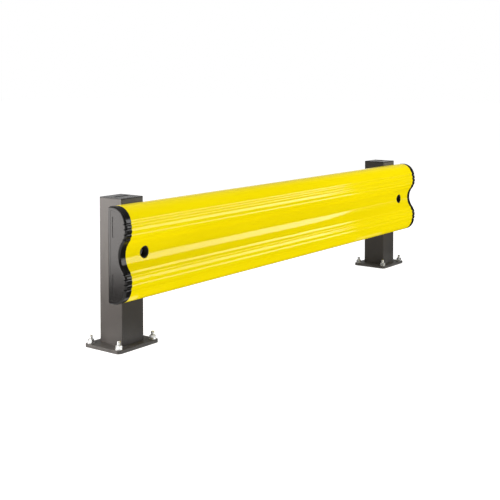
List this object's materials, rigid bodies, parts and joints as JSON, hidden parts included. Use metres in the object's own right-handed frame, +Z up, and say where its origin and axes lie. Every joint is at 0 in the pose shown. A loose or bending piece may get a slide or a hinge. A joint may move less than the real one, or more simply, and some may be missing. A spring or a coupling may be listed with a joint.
{
  "type": "guard rail",
  "caption": "Floor-mounted guard rail: a yellow double-wave beam with dark end caps on two square posts with bolted base plates.",
  "frame": {"origin": "on the floor, at the centre of the outline seen from above", "axes": "+X along the rail, -Y the side that the beam's wave faces, +Z up"},
  "size_m": [1.933, 0.209, 0.486],
  "materials": {
    "rail_yellow": "satin extruded polymer with long ribs",
    "cap_black": "fine-grained moulded polymer",
    "post_coat": "matt powder coat",
    "post_cap_grey": "fine-grained moulded polymer",
    "zinc": "bright zinc plate"
  },
  "bodies": {
    "root": {"rail_beam": "rail_yellow", "end_cap_left": "cap_black", "end_cap_right": "cap_black", "base_plate_left": "post_coat", "post_tube_left": "post_coat", "post_cap_left": "post_cap_grey", "bolt_cup_left": "cap_black", "rail_bolt_left": "zinc", "rail_washer_left": "zinc", "rail_nut_left": "zinc", "anchor_stud_left_front_outer": "zinc", "anchor_washer_left_front_outer": "zinc", "anchor_nut_left_front_outer": "zinc", "anchor_stud_left_front_inner": "zinc", "anchor_washer_left_front_inner": "zinc", "anchor_nut_left_front_inner": "zinc", "anchor_stud_left_back_outer": "zinc", "anchor_washer_left_back_outer": "zinc", "anchor_nut_left_back_outer": "zinc", "anchor_stud_left_back_inner": "zinc", "anchor_washer_left_back_inner": "zinc", "anchor_nut_left_back_inner": "zinc", "base_plate_right": "post_coat", "post_tube_right": "post_coat", "post_cap_right": "post_cap_grey", "bolt_cup_right": "cap_black", "rail_bolt_right": "zinc", "rail_washer_right": "zinc", "rail_nut_right": "zinc", "anchor_stud_right_front_outer": "zinc", "anchor_washer_right_front_outer": "zinc", "anchor_nut_right_front_outer": "zinc", "anchor_stud_right_front_inner": "zinc", "anchor_washer_right_front_inner": "zinc", "anchor_nut_right_front_inner": "zinc", "anchor_stud_right_back_outer": "zinc", "anchor_washer_right_back_outer": "zinc", "anchor_nut_right_back_outer": "zinc", "anchor_stud_right_back_inner": "zinc", "anchor_washer_right_back_inner": "zinc", "anchor_nut_right_back_inner": "zinc"}
  },
  "joints": []
}
